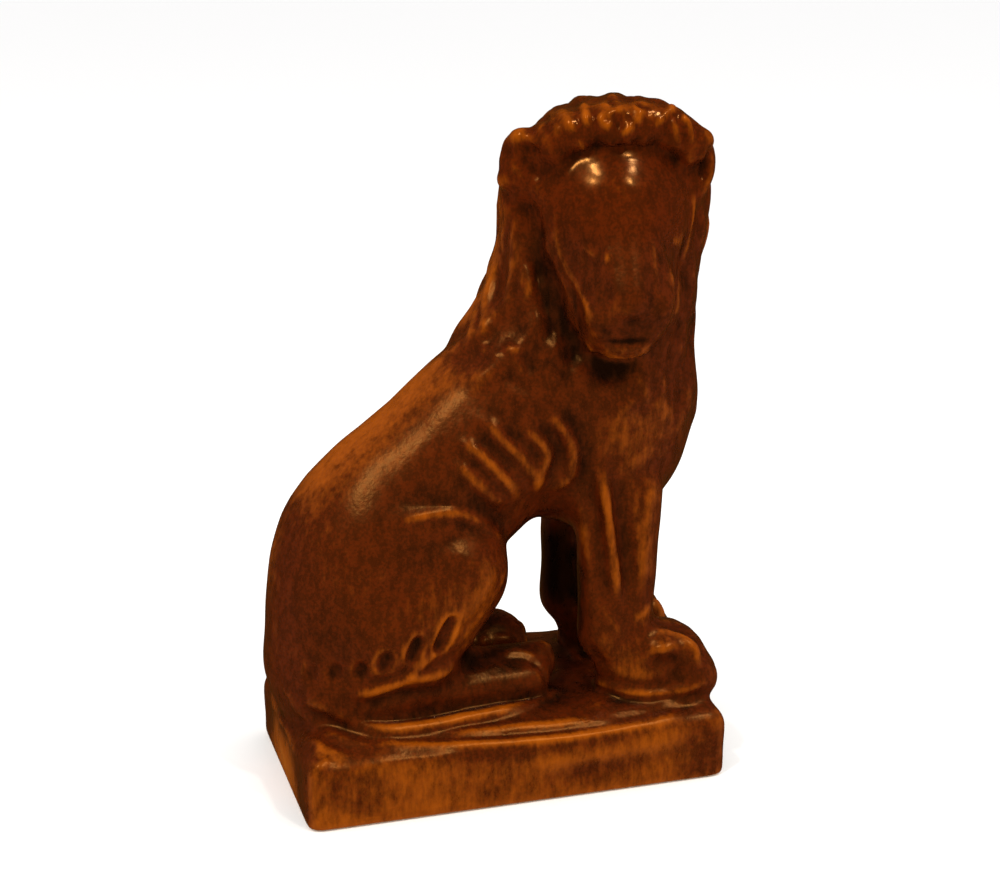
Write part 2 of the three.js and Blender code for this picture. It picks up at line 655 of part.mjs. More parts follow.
  // A merge is refused where it would fold a facet over or draw it out into a sliver.
  function turnsOver(corner, partner, place) {
    for (const i of around[corner]) {
      const face = faces[i];
      if (face.includes(partner)) continue;
      const old = face.map((c) => points[c]);
      const moved = face.map((c) => (c === corner ? place : points[c]));
      const shape = shapeOf(...moved);
      const oldShape = shapeOf(...old);
      if (shape < LEAST_SHAPE && shape < oldShape) return true;
      const before = normalOf(...old);
      const size = Math.hypot(...before);
      if (size < TINY_FACET) continue;
      const after = normalOf(...moved);
      const dot = before[0] * after[0] + before[1] * after[1] + before[2] * after[2];
      if (dot < LEAST_TURN * size * Math.hypot(...after)) return true;
    }
    return false;
  }

  let count = faces.length;
  for (const [i, j, k] of faces) {
    if (i < j) offer(i, j);
    if (j < k) offer(j, k);
    if (k < i) offer(k, i);
  }
  while (count > target && heap.length > 0) {
    const item = pop();
    const { a, b, places, stamp } = item;
    if (around[a].size === 0 || around[b].size === 0) continue;
    if (stamp !== version[a] + version[b] * 65536) continue;
    const nearA = neighbours(a);
    if (!nearA.has(b)) continue;
    const nearB = neighbours(b);
    let shared = 0;
    for (const other of nearA) if (nearB.has(other)) shared += 1;
    if (shared !== 2) continue;
    const fair = places.find(({ place }) => !turnsOver(a, b, place) && !turnsOver(b, a, place));
    if (!fair) {
      const later = item.cost * 2 + REFUSED_COST;
      if (item.refusals < MOST_REFUSALS) push({ ...item, cost: later, refusals: item.refusals + 1 });
      continue;
    }
    if (fair.cost > item.cost * 1.5 + REFUSED_COST) {
      push({ ...item, cost: fair.cost });
      continue;
    }
    points[a] = fair.place;
    for (let t = 0; t < 10; t += 1) quadric[a][t] += quadric[b][t];
    for (const i of around[b]) {
      const face = faces[i];
      if (face.includes(a)) {
        alive[i] = 0;
        count -= 1;
        for (const corner of face) if (corner !== b) around[corner].delete(i);
      } else {
        face[face.indexOf(b)] = a;
        around[a].add(i);
      }
    }
    around[b] = new Set();
    version[a] += 1;
    for (const other of neighbours(a)) offer(a, other);
  }
  return { points, faces: faces.filter((face, i) => alive[i]) };
}

// A closed mesh with shared corners, faces pointing out.
function toGeometry({ points, faces }) {
  const number = new Map();
  const positions = [];
  const index = [];
  for (const face of faces) {
    for (const corner of face) {
      if (!number.has(corner)) {
        number.set(corner, number.size);
        const [x, y, z] = points[corner];
        positions.push(x, y, Math.abs(z) < 0.01 ? 0 : z);
      }
      index.push(number.get(corner));
    }
  }
  const geometry = new THREE.BufferGeometry();
  geometry.setAttribute('position', new THREE.Float32BufferAttribute(positions, 3));
  geometry.setIndex(index);
  geometry.computeVertexNormals();
  return geometry;
}

// Where facets matter most: the face and the fringe above all, then the crisp edge of the underside.
function care([, y, z]) {
  if (z < 0.1) return 2;
  if (z > CHIN_HEIGHT - 4 && y < -14) return 3;
  return 1;
}

const glaze = new THREE.MeshStandardMaterial({ color: 0x7a3a14, roughness: 0.35, metalness: 0 });
const lion = new THREE.Mesh(toGeometry(coarsen(polygonise(sculptField), FACETS, care)), glaze);
lion.name = 'lion_bookend';
lion.geometry.translate(-PLINTH_MIDDLE, 0, 0);

const group = new THREE.Group();
group.add(lion);

export default group;
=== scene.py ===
import math

import bpy
import numpy as np
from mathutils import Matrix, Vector
from mathutils.bvhtree import BVHTree


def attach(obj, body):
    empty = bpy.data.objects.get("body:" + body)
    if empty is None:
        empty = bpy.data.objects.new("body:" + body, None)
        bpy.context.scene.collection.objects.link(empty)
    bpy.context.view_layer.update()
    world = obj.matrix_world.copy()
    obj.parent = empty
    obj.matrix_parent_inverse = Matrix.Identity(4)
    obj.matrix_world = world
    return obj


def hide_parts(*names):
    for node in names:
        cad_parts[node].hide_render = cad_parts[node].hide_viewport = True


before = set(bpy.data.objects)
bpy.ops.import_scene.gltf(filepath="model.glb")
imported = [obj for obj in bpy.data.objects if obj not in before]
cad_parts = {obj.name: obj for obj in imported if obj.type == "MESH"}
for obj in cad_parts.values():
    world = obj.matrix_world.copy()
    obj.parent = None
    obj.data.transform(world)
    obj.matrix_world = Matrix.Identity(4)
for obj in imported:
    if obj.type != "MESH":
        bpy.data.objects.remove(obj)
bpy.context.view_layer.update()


# The clay lion and its plinth: one casting, so one piece. It starts from the solid's own form,
# copied, worked to an even skin of clay and smoothed with a damp sponge before any detail is cut.
SKIN = 0.00052
SPONGE_PASSES = 34
SPONGE_PRESSURE = 0.5

lion_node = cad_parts["lion_bookend"]


def worked_copy(node, name):
    clay = bpy.data.meshes.new_from_object(node)
    piece = bpy.data.objects.new(name, clay)
    bpy.context.collection.objects.link(piece)
    weld = piece.modifiers.new("weld", "WELD")
    weld.merge_threshold = 1e-6
    skin = piece.modifiers.new("skin", "REMESH")
    skin.mode = "VOXEL"
    skin.voxel_size = SKIN
    skin.adaptivity = 0.0
    settle(piece)
    return piece


def settle(piece):
    # Makes the piece's live modifiers part of its own mesh.
    depsgraph = bpy.context.evaluated_depsgraph_get()
    finished = bpy.data.meshes.new_from_object(piece.evaluated_get(depsgraph))
    piece.modifiers.clear()
    rough = piece.data
    piece.data = finished
    bpy.data.meshes.remove(rough)


def places_of(clay):
    places = np.empty(len(clay.vertices) * 3)
    clay.vertices.foreach_get("co", places)
    return places.reshape(-1, 3)


def facings_of(clay):
    facings = np.empty(len(clay.vertices) * 3)
    clay.vertex_normals.foreach_get("vector", facings)
    return facings.reshape(-1, 3)


class Sponge:
    # Evens out any value held at the vertices, each pass drawing it towards its neighbours' mean.
    def __init__(self, clay):
        ends = np.empty(len(clay.edges) * 2, dtype=np.int64)
        clay.edges.foreach_get("vertices", ends)
        ends = ends.reshape(-1, 2)
        self.near = np.concatenate([ends[:, 0], ends[:, 1]])
        self.far = np.concatenate([ends[:, 1], ends[:, 0]])
        self.count = len(clay.vertices)
        self.share = 1.0 / np.maximum(np.bincount(self.near, minlength=self.count), 1)

    def neighbours(self, values):
        columns = [np.bincount(self.near, values[self.far, i], self.count) for i in range(values.shape[1])]
        return np.stack(columns, axis=1) * self.share[:, None]

    def wipe(self, values, passes, pressure):
        for _ in range(passes):
            values = values + (self.neighbours(values) - values) * pressure
        return values


lion = worked_copy(lion_node, "lion_in_clay")
sponge = Sponge(lion.data)
formed = sponge.wipe(places_of(lion.data), SPONGE_PASSES, SPONGE_PRESSURE)


def smooth_between(low, high, value):
    t = np.clip((value - low) / (high - low), 0, 1)
    return t * t * (3 - 2 * t)


# The face is wiped smoother than the rest, inside an egg round its middle.
FACE_MIDDLE = (0.0285, -0.033, 0.133)
FACE_REACH = (0.019, 0.019, 0.026)
FACE_PASSES = 70
faceward = np.linalg.norm((formed - FACE_MIDDLE) / FACE_REACH, axis=1)
wiped = sponge.wipe(formed, FACE_PASSES, SPONGE_PRESSURE)
formed += (wiped - formed) * smooth_between(1.0, 0.75, faceward)[:, None]


# The modelling is read off the photograph, so its strokes are noted as points of the picture, across and down, and
# laid on the clay along the line of sight.
PICTURE = (1000, 883)
SIGHT_MIDDLE = Vector((0.00324, 0.0, 0.08778))
SIGHT_DISTANCE = 0.4698
SIGHT_TURN = math.radians(-17.06)
SIGHT_RISE = math.radians(15.6)
SIGHT_LENS = 64.8
SIGHT_SENSOR = 36.0

sight_back = Vector((
    math.sin(SIGHT_TURN) * math.cos(SIGHT_RISE),
    -math.cos(SIGHT_TURN) * math.cos(SIGHT_RISE),
    math.sin(SIGHT_RISE),
))
sight_from = SIGHT_MIDDLE + sight_back * SIGHT_DISTANCE
sight_right = (-sight_back).cross(Vector((0, 0, 1))).normalized()
sight_up = sight_right.cross(-sight_back)


def study(places):
    # Sets the clay to these places, and gives the way it faces there and a tree to find it by.
    lion.data.vertices.foreach_set("co", places.ravel())
    lion.data.update()
    corners = [tuple(face.vertices) for face in lion.data.polygons]
    return facings_of(lion.data), BVHTree.FromPolygons([Vector(place) for place in places], corners)


facings, skin_tree = study(formed)


def seen_at(across, down):
    reach = PICTURE[0] * SIGHT_LENS / SIGHT_SENSOR
    way = -sight_back + sight_right * ((across - PICTURE[0] / 2) / reach)
    way += sight_up * ((PICTURE[1] / 2 - down) / reach)
    return skin_tree.ray_cast(sight_from, way.normalized())[0]


def seen_along(points):
    return [place for place in (seen_at(*point) for point in points) if place is not None]


def other_side(places):
    # The same places on the lion's left flank, set on the clay there.
    return [skin_tree.find_nearest(Vector((p.x, -p.y, p.z)))[0] for p in places]


def eased(places, spacing):
    # A smooth line through the places, in even steps.
    points = np.array([tuple(p) for p in places])
    if len(points) > 2:
        ends = np.concatenate([[2 * points[0] - points[1]], points, [2 * points[-1] - points[-2]]])
        line = []
        for i in range(1, len(ends) - 2):
            before, here, there, after = ends[i - 1:i + 3]
            for t in np.linspace(0, 1, 12, endpoint=False):
                line.append(0.5 * (2 * here + (there - before) * t
                                   + (2 * before - 5 * here + 4 * there - after) * t ** 2
                                   + (3 * here - before - 3 * there + after) * t ** 3))
        line.append(points[-1])
        points = np.array(line)
    steps = np.linalg.norm(np.diff(points, axis=0), axis=1)
    walked = np.concatenate([[0], np.cumsum(steps)])
    count = max(3, int(walked[-1] / spacing) + 1)
    wanted = np.linspace(0, walked[-1], count)
    return np.stack([np.interp(wanted, walked, points[:, i]) for i in range(3)], axis=1)


relief = np.zeros(len(formed))
TOOL_STEP = 0.0003


def tool(places, width, height, fade=0.25, tip=1.0, onto=relief, flat=0.0):
    # One stroke, in millimetres: a soft ridge, or a groove where height is negative. fade is the
    # share of its length over which each end dies away, tip is its width at the end over the start,
    # and flat the share of its width that stays level.
    if len(places) < 2:
        return
    line = eased(places, TOOL_STEP)
    width, height = width / 1000, height / 1000
    low, high = line.min(0) - width, line.max(0) + width
    near = np.flatnonzero(np.all((formed > low) & (formed < high), axis=1))
    for part in np.array_split(near, max(1, len(near) // 4000)):
        gaps = np.linalg.norm(formed[part][:, None, :] - line[None, :, :], axis=2)
        nearest = gaps.argmin(axis=1)
        along = nearest / (len(line) - 1)
        reach = width * (1 + (tip - 1) * along)
        away = gaps[np.arange(len(part)), nearest] / reach
        ends = smooth_between(0, fade, along) * smooth_between(1, 1 - fade, along) if fade > 0 else 1.0
        away = np.clip((away - flat) / (1 - flat), 0, 1)
        onto[part] += height * (1 - away ** 2) ** 2 * ends


def draw(strokes, width, height, fade=0.25, tip=1.0, both=False, onto=relief, flat=0.0):
    # Strokes given as points of the picture; both repeats them on the hidden side of the lion.
    for stroke in strokes:
        places = seen_along(stroke)
        tool(places, width, height, fade, tip, onto, flat)
        if both:
            tool(other_side(places), width, height, fade, tip, onto, flat)


# The head is filled out before any detail is drawn: the round of the chin, the side of the muzzle
# and the lobes of the ear are built up with soft clay, and the corners of the mouth are closed.
CHIN_MASS = [[(602, 350), (614, 353), (628, 353), (640, 349), (650, 343)]]
MUZZLE_MASS = [[(664, 262), (666, 280), (667, 298), (665, 314), (660, 326)]]
JAW_CORNER = [[(593, 351), (599, 356)]]
MOUTH_CORNERS = [[(588, 314), (594, 324), (601, 332)], [(650, 338), (660, 330)]]
FAR_KNUCKLE = [[(655, 604), (660, 614)]]
EAR_MASS = [[(512, 140), (526, 134)], [(504, 172), (504, 188)]]
EAR_CUP = [[(516, 156), (528, 156), (542, 158)], [(532, 168), (540, 182)]]
BACK_DIP = [[(396, 418), (412, 434), (428, 452)]]
BROW_FILL = [[(575, 152), (600, 147), (630, 145), (660, 148), (678, 156)]]
draw(CHIN_MASS, 5.5, 1.3, fade=0.1)
draw(MUZZLE_MASS, 5.0, 1.9)
draw(JAW_CORNER, 3.5, -0.9, fade=0)
draw(MOUTH_CORNERS, 3.0, 0.9, fade=0)
draw(BROW_FILL, 4.0, 0.8)
draw(BACK_DIP, 13.0, -0.45, fade=0, both=True)
draw(EAR_MASS, 4.0, 0.8)
draw(EAR_CUP, 4.5, -0.7)
draw(FAR_KNUCKLE, 3.2, 1.5, fade=0)
HEAD_PASSES = 14
formed += facings * sponge.wipe(relief[:, None], HEAD_PASSES, 0.5)
faceward = np.linalg.norm((formed - FACE_MIDDLE) / FACE_REACH, axis=1)
formed += (sponge.wipe(formed, 16, 0.5) - formed) * smooth_between(1.25, 0.9, faceward)[:, None]
facings, skin_tree = study(formed)
relief[:] = 0

# Flank: five ribs drawn down and forward and turned in behind the elbow, with the clay pressed in
# between them, and the lip of the thigh with the hollow over it. Both flanks are modelled alike.
RIBS = [
    [(450, 458), (466, 473), (480, 486), (493, 497), (506, 507)],
    [(456, 436), (471, 448), (485, 460), (498, 474), (509, 485), (520, 495)],
    [(468, 410), (486, 421), (497, 432), (509, 444), (521, 456), (530, 467), (535, 480), (536, 494)],
    [(521, 424), (537, 437), (545, 447), (549, 456), (545, 466), (540, 478), (537, 490), (532, 502)],
    [(543, 411), (558, 423), (568, 437), (574, 450), (574, 465), (569, 478), (559, 486), (544, 490)],
]
RIB_GAPS = [
    [(466, 456), (480, 470), (494, 484), (506, 497)],
    [(472, 431), (490, 447), (505, 463), (519, 479)],
    [(500, 424), (517, 441), (531, 456), (538, 468)],
    [(533, 422), (548, 436), (558, 449), (557, 463), (551, 477)],
    [(556, 405), (573, 420), (584, 440), (585, 466), (578, 488)],
]
THIGH_LIP = [[(392, 522), (404, 520), (416, 518), (429, 515), (449, 514), (461, 515), (474, 520), (487, 527),
              (498, 535), (505, 545)]]
THIGH_HOLLOW = [[(384, 509), (404, 504), (424, 501), (449, 499), (468, 501), (486, 510), (500, 520)]]
THIGH_VALLEY = [[(404, 529), (428, 523), (450, 521), (470, 526), (484, 532), (495, 540)]]
THIGH_SWELL = [[(408, 537), (428, 531), (448, 530), (466, 533), (484, 538), (496, 545)],
               [(420, 570), (446, 556), (470, 558), (486, 575), (478, 602), (458, 627)]]
KNEE_EDGE = [[(505, 548), (504, 570), (496, 592), (483, 612), (468, 632), (452, 652)]]
RUMP_VALLEY = [[(384, 532), (396, 560), (398, 595), (392, 630)]]
draw(RIBS, 2.5, 0.7, both=True)
draw(RIB_GAPS, 3.4, -0.7, both=True)
draw(THIGH_LIP, 2.2, 0.45, fade=0.15, both=True)
draw(THIGH_HOLLOW, 4.4, 0.7, both=True)
draw(THIGH_VALLEY, 2.4, -0.5, both=True)
draw(THIGH_SWELL, 5.0, 0.7, both=True)
draw(KNEE_EDGE, 2.2, 0.35, both=True)
draw(RUMP_VALLEY, 8.0, -0.5, both=True)

# Haunch: a row of pressed ovals along its foot, each with a raised rim, over the rim of the hock.
# The oval is given by its middle, half width, half height and lean, and how hard it is pressed.
PIXEL = 0.261
OVALS = [
    (311, 672, 8.5, 9, 5, 0.45), (335, 672, 8.5, 10, 8, 0.5), (361, 670, 9, 10.5, 12, 0.7),
    (385, 662, 9.5, 12.5, 25, 1.0), (415, 650, 9, 16, 25, 1.1), (445, 634, 9, 22, 28, 1.1),
]
HOCK_RIM = [[(350, 698), (361, 694), (377, 690), (397, 684), (411, 679), (428, 677), (442, 674), (450, 667),
             (450, 655)], [(404, 680), (416, 670), (428, 660), (436, 650)]]
HOCK_GROOVE = [[(350, 708), (375, 702), (400, 694), (425, 691), (445, 686), (457, 674)]]
oval_spines, oval_rims = [], []
for middle_x, middle_y, half_width, half_height, lean, pressed in OVALS:
    turn = math.radians(lean)
    rim = []
    for step in range(13):
        angle = 2 * math.pi * step / 12
        aside, upward = half_width * math.sin(angle), half_height * math.cos(angle)
        rim.append((middle_x + aside * math.cos(turn) + upward * math.sin(turn),
                    middle_y - upward * math.cos(turn) + aside * math.sin(turn)))
    reach = (half_height - half_width) * 0.9 + 1
    spine = [(middle_x + k * reach * math.sin(turn), middle_y - k * reach * math.cos(turn)) for k in (-1, 0, 1)]
    oval_spines.append((spine, half_width * PIXEL, pressed))
    oval_rims.append((rim, pressed))
    draw([spine], half_width * PIXEL * 1.05, -0.5 * pressed, fade=0, both=True, flat=0.5)
    draw([rim], 1.2, 0.3 * pressed, fade=0, both=True)
draw(HOCK_RIM, 2.2, 0.7, fade=0.15, both=True)
draw(HOCK_GROOVE, 2.2, -0.6, both=True)

# Hind foot: long and flat, its near edge and toe raised round a shallow hollow, with the ledge of
# clay that runs round haunch and foot below it.
FOOT_EDGE = [[(447, 681), (462, 677), (480, 672), (496, 667), (512, 662)]]
FOOT_HOLLOW = [[(458, 658), (475, 656), (493, 652), (508, 648)]]
TOE_RIDGE = [[(500, 654), (518, 652), (530, 655), (538, 661)]]
TOE_GROOVE = [[(526, 661), (537, 665), (544, 675), (546, 689)]]
FAR_RIM = [[(453, 650), (470, 646), (484, 641), (505, 638), (525, 641), (546, 646), (556, 653)]]
LEDGE = [[(300, 698), (321, 705), (342, 715), (356, 722), (370, 727), (387, 729), (404, 728), (439, 722),
          (473, 716), (511, 709), (539, 702), (550, 695), (560, 687)]]
LEDGE_TOP = [[(284, 668), (300, 687), (320, 698), (344, 707), (366, 717), (390, 720), (420, 717), (460, 710),
              (500, 702), (530, 695)]]
LEDGE_FOOT = [[(305, 708), (330, 720), (352, 733), (378, 738), (415, 735), (455, 729), (500, 721), (550, 712)]]
draw(FOOT_EDGE, 1.8, 0.35, both=True)
draw(FOOT_HOLLOW, 3.6, -0.7, both=True)
draw(TOE_RIDGE, 2.0, 0.55, both=True)
draw(TOE_GROOVE, 1.6, -0.6, both=True)
draw(FAR_RIM, 1.7, 0.6, both=True)
draw(LEDGE, 2.8, 1.1, fade=0.06, both=True)
draw(LEDGE_TOP, 2.4, 0.3, both=True)
draw(LEDGE_FOOT, 3.0, -0.35, both=True)

# Plinth: pressed by hand, so its top edge and its front carry low folds along their length.
TOP_RIDGE = [[(432, 736), (470, 731), (500, 728), (540, 725), (580, 720), (606, 717)]]
TOP_GROOVE = [[(410, 740), (460, 737), (510, 734), (560, 730), (605, 726), (650, 719)]]
TOP_EDGE = [[(360, 741), (400, 744), (430, 744), (500, 742), (560, 738), (600, 733), (640, 726), (665, 720), (692, 714)]]
CORNER_FOLDS = [[(296, 735), (318, 744), (336, 752), (358, 760)], [(318, 729), (337, 735), (354, 741), (372, 743)],
                [(316, 772), (322, 763), (331, 758)]]
FRONT_RIDGE = [[(652, 707), (678, 701), (700, 700), (717, 703)]]
FRONT_GROOVE = [[(596, 721), (632, 716), (660, 709), (684, 706), (704, 706)]]
FACE_SWELL = [[(520, 765), (575, 757), (620, 749), (660, 741), (700, 732)]]
FACE_HOLLOW = [[(515, 780), (590, 770), (645, 760), (695, 750)]]
REAR_FOLDS = [[(270, 690), (276, 706), (285, 721), (294, 735)], [(279, 676), (288, 694), (302, 714), (322, 730)]]
draw(TOP_RIDGE, 2.2, 0.5, both=True)
draw(TOP_GROOVE, 2.0, -0.5, both=True)
draw(TOP_EDGE, 2.0, 0.4, fade=0.1, both=True)
draw(CORNER_FOLDS, 2.2, 0.45)
draw(FRONT_RIDGE, 2.0, 0.5, both=True)
draw(FRONT_GROOVE, 2.2, -0.6, both=True)
draw(FACE_SWELL, 4.5, 0.5, both=True)
draw(FACE_HOLLOW, 4.5, -0.5, both=True)
draw(REAR_FOLDS, 2.2, 0.5, both=True)

# Forelegs: straight, each with an upright flute down its outside, and a sharp edge behind.
FLUTE = [[(600, 450), (603, 480), (607, 510), (611, 540), (615, 562), (618, 586), (623, 612)]]
FRONT_VALLEY = [[(614, 470), (620, 505), (626, 540), (630, 575), (631, 600)]]
REAR_VALLEY = [[(590, 470), (594, 515), (599, 555), (603, 590), (610, 618)]]
FRONT_BAND = [[(652, 470), (650, 510), (646, 550), (643, 590)]]
LEG_EDGE = [[(557, 503), (565, 516), (570, 540), (573, 575), (574, 612), (580, 642)]]
ANKLE = [[(600, 598), (607, 614), (617, 628), (628, 640)], [(634, 620), (645, 612), (652, 602)]]
draw(FLUTE, 2.6, 0.6, both=True)
draw(FRONT_VALLEY, 4.0, -0.9, both=True)
draw(REAR_VALLEY, 3.6, -0.9, both=True)
draw(FRONT_BAND, 3.0, 0.4, both=True)
draw(LEG_EDGE, 1.6, 0.5, both=True)
draw(ANKLE, 2.0, 0.4, both=True)

# Forepaws: the toes are folds that curl over from the top, on a rim of clay round the sole.
KNUCKLE = [[(650, 628), (663, 631), (678, 635), (691, 644), (697, 657), (695, 672)],
           [(656, 622), (672, 623), (688, 627), (700, 637)]]
PAW_HOLLOW = [[(647, 655), (655, 660), (665, 660), (675, 657), (684, 652)]]
PAW_FOLD = [[(648, 650), (658, 650), (668, 649), (678, 646)]]
OUTER_TOE = [[(668, 631), (681, 632), (694, 638), (703, 650), (705, 664)]]
PAW_PAD = [[(600, 665), (616, 672), (640, 676), (664, 674), (684, 670)]]
HEEL_HOLLOW = [[(588, 640), (596, 656), (606, 668)]]
SOLE_RIM = [[(586, 668), (592, 674), (602, 683), (617, 689), (630, 692), (643, 693), (663, 693), (684, 690),
             (699, 683), (709, 675)]]
SOLE_GROOVE = [[(600, 694), (625, 701), (655, 703), (690, 697)]]
draw(KNUCKLE, 1.9, 0.7, both=True)
draw(PAW_HOLLOW, 4.0, -0.6, both=True)
draw(PAW_FOLD, 2.0, 0.5, both=True)
draw(OUTER_TOE, 1.6, -0.7, both=True)
draw(PAW_PAD, 3.0, 0.3, both=True)
draw(HEEL_HOLLOW, 2.6, -0.7, both=True)
draw(SOLE_RIM, 2.2, 0.9, fade=0.1, both=True)
draw(SOLE_GROOVE, 2.2, -0.5, both=True)

# Mane: wavy locks in rows all the way round the neck, the crown combed forward from the back, and
# curls on the chest. Where the mane shows beside the face, each lock is drawn where it lies.
MANE_MIDDLE = (0.0308, -0.003)
FACE_TURN = -100
LOCK_ROWS = [
    # height of the roots, of the tips, locks in the row, degrees left free at the face, sway
    (0.172, 0.150, 16, 76, 7), (0.157, 0.131, 17, 84, -8), (0.140, 0.115, 17, 90, 8), (0.123, 0.100, 17, 96, -9),
]


def round_mane(angle, height):
    turn = math.radians(angle)
    outward = Vector((math.cos(turn), math.sin(turn), 0))
    middle = Vector((MANE_MIDDLE[0], MANE_MIDDLE[1] * smooth_between(0.1, 0.15, height), height))
    return skin_tree.ray_cast(middle + outward * 0.12, -outward)[0]


for row, (root, tip, locks, free, sway) in enumerate(LOCK_ROWS):
    for lock in range(locks):
        middle_angle = FACE_TURN + 360 * (lock + row / 2) / locks
        if abs((middle_angle - FACE_TURN + 180) % 360 - 180) < free:
            continue
        shift = 0.0022 * math.sin(lock * 2.4 + row)
        for aside, width, height in ((0, 3.4, 0.8), (-8, 2.4, -0.7), (5, 1.8, 0.3)):
            line = []
            for step in range(7):
                along = step / 6
                angle = middle_angle + aside * (1 - along * 0.6) + sway * math.sin(along * 5 + lock)
                line.append(round_mane(angle, root + shift + (tip - root) * along))
            tool([place for place in line if place is not None], width, height, 0.25, 0.7)

CROWN_LOCKS = 11
for lock in range(CROWN_LOCKS):
    across = -0.019 + 0.038 * lock / (CROWN_LOCKS - 1)
    line = []
    for step in range(9):
        back = 0.009 - 0.031 * step / 8
        wave = 0.0011 * math.sin(step * 1.3 + lock * 1.9)
        turn = math.radians(FACE_TURN)
        x = 0.031 + math.cos(turn) * back - math.sin(turn) * (across + wave)
        y = -0.008 + math.sin(turn) * back + math.cos(turn) * (across + wave)
        line.append(skin_tree.ray_cast(Vector((x, y, 0.25)), Vector((0, 0, -1)))[0])
    line = [place for place in line if place is not None]
    tool(line, 2.2, 0.5 if lock % 2 else -0.5, 0.25)

MANE_RIDGES = [
    [(507, 196), (508, 212), (506, 228), (503, 243), (507, 257)], [(512, 252), (512, 268), (510, 284), (508, 300), (510, 318)],
    [(500, 248), (494, 268), (488, 288), (485, 312), (486, 342)], [(478, 306), (475, 322), (470, 342)],
    [(526, 262), (530, 276), (528, 290), (519, 300)], [(504, 346), (514, 350), (520, 345)],
    [(510, 358), (518, 366), (525, 376)], [(545, 366), (551, 374), (549, 384)],
    [(700, 198), (703, 215), (701, 238), (698, 256)], [(692, 262), (693, 285), (690, 305), (692, 328)],
    [(684, 306), (681, 326), (687, 348)], [(478, 352), (490, 352), (500, 360)],
]
MANE_GROOVES = [
    [(514, 262), (514, 276), (517, 290), (522, 292), (524, 278)], [(517, 198), (521, 222), (518, 246)],
    [(501, 265), (497, 285), (497, 308)], [(498, 312), (494, 330), (482, 346)],
    [(560, 300), (565, 322), (572, 345)], [(502, 372), (520, 385), (538, 392)], [(697, 262), (699, 290), (696, 315)],
    [(562, 366), (568, 380), (562, 394)], [(522, 350), (530, 362), (534, 376)],
]
CHEST_CURLS = [
    [(626, 378), (634, 378), (642, 385), (646, 395), (643, 404), (636, 407)],
    [(645, 351), (648, 361), (655, 368), (661, 377), (665, 387), (667, 402)],
    [(657, 339), (671, 343), (685, 350), (692, 358), (697, 371)],
    [(680, 374), (686, 386), (690, 402)],
]
CHEST_HOLLOWS = [
    [(630, 387), (636, 392), (633, 400)], [(652, 376), (657, 388), (656, 404)], [(668, 352), (678, 362), (684, 374)],
    [(600, 372), (614, 380), (630, 374)], [(676, 384), (680, 396), (680, 410)],
]
draw(MANE_RIDGES, 2.2, 0.6)
draw(MANE_GROOVES, 2.8, -0.5)
draw(CHEST_CURLS, 1.8, 0.35)
draw(CHEST_HOLLOWS, 2.4, -0.4)

# Ears: cupped, with a rolled rim, one at each side of the brow.
EAR_SWELLS = [
    [(530, 130), (518, 134), (508, 140), (504, 150)], [(504, 170), (501, 180), (502, 190)],
    [(699, 130), (706, 134), (711, 141)], [(706, 138), (711, 146)],
]
EAR_RIDGES = [
    [(522, 137), (530, 139), (538, 144)], [(514, 163), (519, 172), (525, 180)],
    [(523, 152), (531, 155), (541, 160)],
    [(708, 145), (704, 152), (698, 164), (696, 180), (697, 192)], [(710, 148), (711, 162), (708, 178), (702, 190)],
]
EAR_HOLLOWS = [
    [(518, 144), (528, 147), (541, 151)], [(528, 164), (536, 172), (543, 182)], [(508, 147), (508, 160)],
    [(703, 158), (702, 170), (701, 182)],
]
draw(EAR_SWELLS, 3.2, 0.7)
draw(EAR_RIDGES, 1.6, 0.6)
draw(EAR_HOLLOWS, 2.4, -0.6)

# Fringe: short locks over the brow, each ending in a point, and two small curls at the parting.
# A lock is given by its root, bend and tip, its half width in millimetres and how far it is raised.
FRINGE_LOCKS = [
    ((549, 118), (556, 130), (562, 142), 2.8, 0.5), ((560, 112), (568, 124), (575, 137), 3.2, 0.8),
    ((582, 105), (587, 118), (590, 131), 2.2, 0.9), ((598, 113), (604, 123), (610, 132), 3.0, 0.7),
    ((634, 125), (627, 130), (620, 137), 1.8, 0.9), ((642, 110), (640, 117), (636, 125), 2.6, 0.7),
    ((662, 117), (658, 124), (653, 131), 1.8, 0.8), ((672, 108), (668, 112), (662, 118), 2.2, 0.6),
    ((678, 114), (689, 128), (690, 146), 1.5, 0.8), ((668, 118), (673, 130), (671, 144), 1.8, 0.5),
    ((676, 122), (680, 136), (678, 150), 1.6, 0.5), ((578, 136), (583, 147), (589, 155), 1.1, 0.5),
]
TOP_LUMPS = [(612, 95, 2.6), (636, 96, 2.8), (658, 100, 3.0), (675, 108, 2.4), (685, 117, 2.2), (541, 124, 2.6)]
FRINGE_GAPS = [
    [(576, 100), (577, 110), (582, 122)], [(594, 106), (596, 118), (599, 130)],
    [(622, 112), (620, 122), (616, 130)], [(646, 104), (647, 114), (645, 126)],
    [(650, 134), (656, 128), (664, 124)], [(668, 122), (668, 134), (666, 144)], [(684, 124), (685, 138), (684, 150)],
    [(545, 116), (550, 128), (556, 140)],
]
CURLS = [(612, 103, 9), (606, 119, 6), (640, 105, 7)]
for root, bend, point, width, raised in FRINGE_LOCKS:
    draw([[root, bend, point]], width, raised * 1.3, fade=0.2, tip=0.6)
for across, down, width in TOP_LUMPS:
    draw([[(across - 2, down + 2), (across + 2, down + 3)]], width, 0.6, fade=0)
draw(FRINGE_GAPS, 1.6, -0.6)
HAIR_LINES = 46
